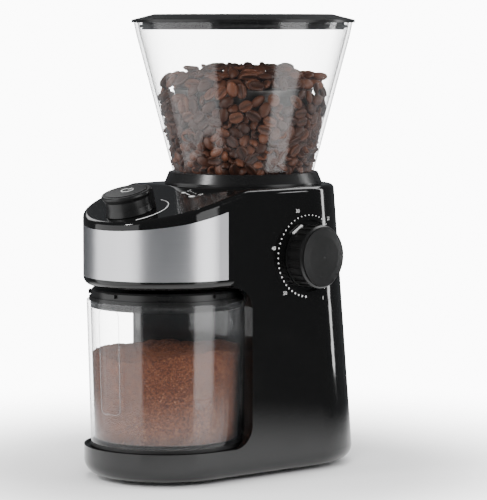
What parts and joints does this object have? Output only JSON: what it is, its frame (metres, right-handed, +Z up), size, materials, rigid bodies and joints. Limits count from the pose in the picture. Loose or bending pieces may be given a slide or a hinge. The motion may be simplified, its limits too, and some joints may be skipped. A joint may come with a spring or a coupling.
{
  "type": "burr coffee grinder",
  "caption": "Electric burr coffee grinder: gloss black body, brushed band, clear conical bean hopper, side grind dial, sloping deck with selector, pull-out clear container.",
  "frame": {"origin": "on the table under the middle of the outer box", "axes": "+Z up, container and front towards -Y, grind dial on +X"},
  "size_m": [0.1579, 0.2125, 0.32],
  "materials": {
    "body_gloss_black": "glossy moulded black",
    "brushed_band": "brushed along the band",
    "base_matte_black": "fine moulded grain",
    "rubber_black": "matt rubber",
    "zinc_steel": "bright zinc plate",
    "inner_black": "satin moulded black",
    "circuit_board": "green solder mask",
    "white_acetal": "self-coloured acetal",
    "bronze": "sintered bronze",
    "ferrite": "dull ferrite",
    "clear_smoke": "clear, very slightly smoked",
    "lid_black": "black gloss",
    "dial_satin_black": "satin black",
    "print_white": "pale print",
    "carrier_satin": "satin black",
    "burr_steel": "ground burr steel",
    "wire_steel": "bright wire",
    "rotor_iron": "laminated iron"
  },
  "bodies": {
    "housing": {"main_housing": "body_gloss_black", "steel_band": "brushed_band", "top_deck": "body_gloss_black", "base_plate": "base_matte_black", "foot_front_left": "rubber_black", "foot_front_right": "rubber_black", "foot_rear_left": "rubber_black", "foot_rear_right": "rubber_black", "base_screws": "zinc_steel", "cord_gland": "rubber_black", "selector_encoder": "inner_black", "control_board": "circuit_board", "dial_bush": "white_acetal", "grind_chamber": "inner_black", "discharge_chute": "inner_black", "throat_guide": "inner_black", "idler_axle": "zinc_steel", "gearbox_case": "inner_black", "gearbox_cover": "inner_black", "shaft_housing": "inner_black", "shaft_bearings": "bronze", "motor_can": "zinc_steel", "motor_end_cap": "inner_black", "motor_magnets": "ferrite", "chassis": "inner_black", "power_board": "circuit_board", "board_components": "inner_black", "container_switch": "inner_black", "hopper_switch": "inner_black"},
    "container": {"container_jar": "clear_smoke", "container_foot_ring": "base_matte_black"},
    "container_cap": {"container_lid": "lid_black", "container_gasket": "rubber_black"},
    "lock_ring": {"hopper_lock_ring": "lid_black"},
    "hopper": {"hopper_bin": "clear_smoke", "hopper_funnel": "inner_black"},
    "hopper_cover": {"hopper_lid": "lid_black", "lid_seal": "rubber_black"},
    "grind_dial": {"dial_knob": "dial_satin_black", "dial_indicator": "print_white", "dial_cap": "dial_satin_black", "dial_shaft": "zinc_steel", "dial_pinion": "white_acetal"},
    "adjuster": {"adjusting_ring": "white_acetal", "burr_carrier": "carrier_satin", "outer_burr": "burr_steel"},
    "bail": {"bail_handle": "wire_steel"},
    "selector": {"selector_knob": "dial_satin_black", "selector_shaft": "zinc_steel"},
    "start": {"start_button": "dial_satin_black"},
    "motor": {"motor_rotor": "rotor_iron", "motor_pinion": "bronze", "cooling_fan": "white_acetal"},
    "idler": {"idler_gear": "white_acetal"},
    "burr_drive": {"final_gear": "white_acetal", "drive_shaft": "zinc_steel", "sweeper": "inner_black", "inner_burr": "burr_steel", "burr_nut": "zinc_steel"}
  },
  "joints": [
    {"name": "container_slide", "type": "slide", "parent": "housing", "child": "container", "axis": [0, -1, 0], "range_m": [0, 0.14]},
    {"name": "container_cap_turn", "type": "hinge", "parent": "container", "child": "container_cap", "pos_m": [0, -0.049, 0.13], "axis": [0, 0, 1], "range_deg": [0, 25]},
    {"name": "hopper_lock_turn", "type": "hinge", "parent": "housing", "child": "lock_ring", "pos_m": [0, 0.0273, 0.2], "axis": [0, 0, 1], "range_deg": [0, 30]},
    {"name": "hopper_lift", "type": "slide", "parent": "lock_ring", "child": "hopper", "axis": [0, 0, 1], "range_m": [0, 0.08]},
    {"name": "hopper_lid_lift", "type": "slide", "parent": "hopper", "child": "hopper_cover", "axis": [0, 0, 1], "range_m": [0, 0.05]},
    {"name": "grind_dial_turn", "type": "hinge", "parent": "housing", "child": "grind_dial", "pos_m": [0.0619, 0.0273, 0.1524], "axis": [1, 0, 0], "range_deg": [-177, 144]},
    {"name": "adjuster_turn", "type": "hinge", "parent": "housing", "child": "adjuster", "pos_m": [0, 0.0273, 0.162], "axis": [0, 0, 1], "range_deg": [-18.5, 22.5]},
    {"name": "bail_fold", "type": "hinge", "parent": "adjuster", "child": "bail", "pos_m": [0, 0.0273, 0.1733], "axis": [-1, 0, 0], "range_deg": [0, 90]},
    {"name": "selector_turn", "type": "hinge", "parent": "housing", "child": "selector", "pos_m": [0, -0.083, 0.18548], "axis": [0, -0.2608, 0.9654], "range_deg": [-130, 130]},
    {"name": "start_press", "type": "slide", "parent": "selector", "child": "start", "axis": [0, 0.2608, -0.9654], "range_m": [0, 0.0015], "stiffness_N_per_m": 600, "springref_m": -0.0008},
    {"name": "motor_spin", "type": "hinge", "parent": "housing", "child": "motor", "pos_m": [0, 0.0485, 0.05], "axis": [0, 0, 1], "continuous": true},
    {"name": "idler_spin", "type": "hinge", "parent": "housing", "child": "idler", "pos_m": [0.01115, 0.03892, 0.09], "axis": [0, 0, 1], "continuous": true},
    {"name": "burr_spin", "type": "hinge", "parent": "housing", "child": "burr_drive", "pos_m": [0, 0.0273, 0.12], "axis": [0, 0, 1], "continuous": true}
  ],
  "couplings": [
    {"joint": "adjuster_turn", "follows": "grind_dial_turn", "ratio": -0.125},
    {"joint": "idler_spin", "follows": "motor_spin", "ratio": -0.3125},
    {"joint": "burr_spin", "follows": "motor_spin", "ratio": 0.11029}
  ]
}
